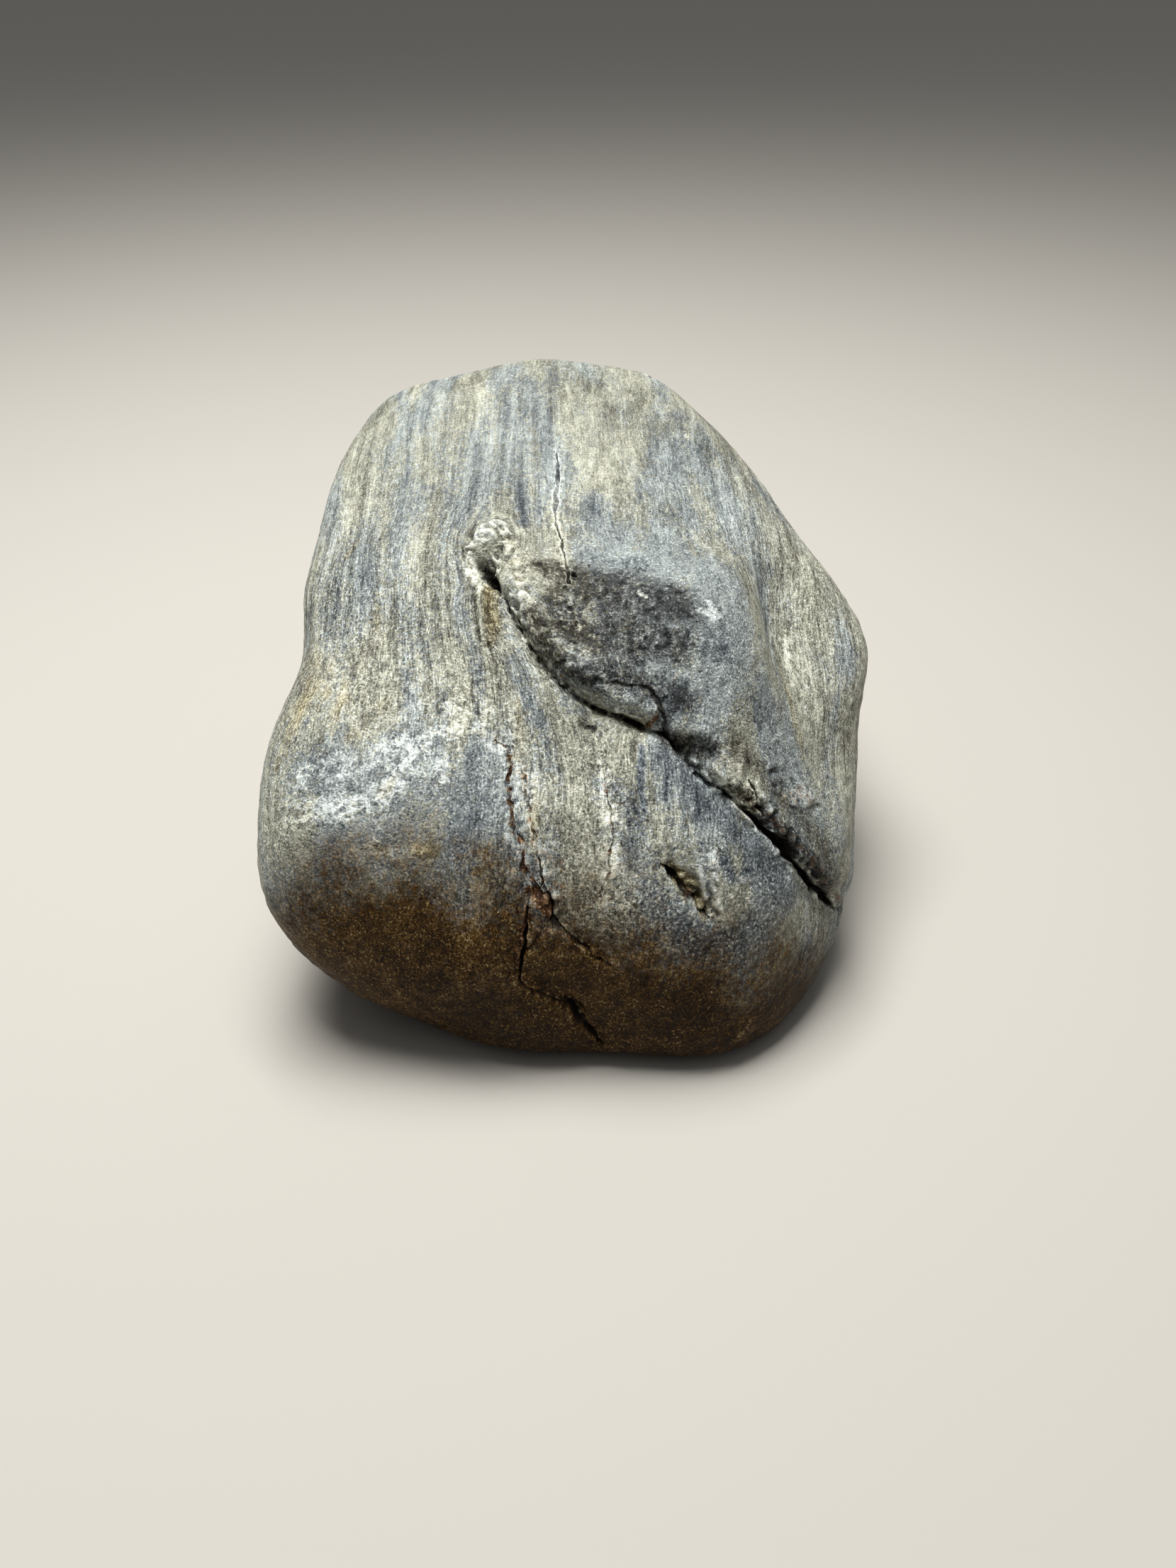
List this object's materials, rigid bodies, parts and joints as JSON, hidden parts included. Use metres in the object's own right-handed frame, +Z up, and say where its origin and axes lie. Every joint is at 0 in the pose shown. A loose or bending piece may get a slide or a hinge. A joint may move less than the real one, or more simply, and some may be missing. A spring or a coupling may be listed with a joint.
{
  "type": "petrified wood cobble",
  "caption": "Water-worn cobble of grey petrified wood with a deep diagonal split, grain streaks and a worn flat underside, lying at rest.",
  "frame": {"origin": "middle of the stone's box in plan, at the level of the flat that it lies on", "axes": "+Z up, the old wood's grain along Y, the blunt end with the splits towards -Y, the high end towards +Y, +X to the right seen from the blunt end"},
  "size_m": [0.08, 0.091, 0.0645],
  "materials": {
    "silicified_wood": "river-worn silica-replaced wood, satin to matt, fine lengthwise grain, granular speckle, rusty cracks and pale mineral bloom"
  },
  "bodies": {
    "root": {"petrified_wood_cobble": "silicified_wood"}
  },
  "joints": []
}
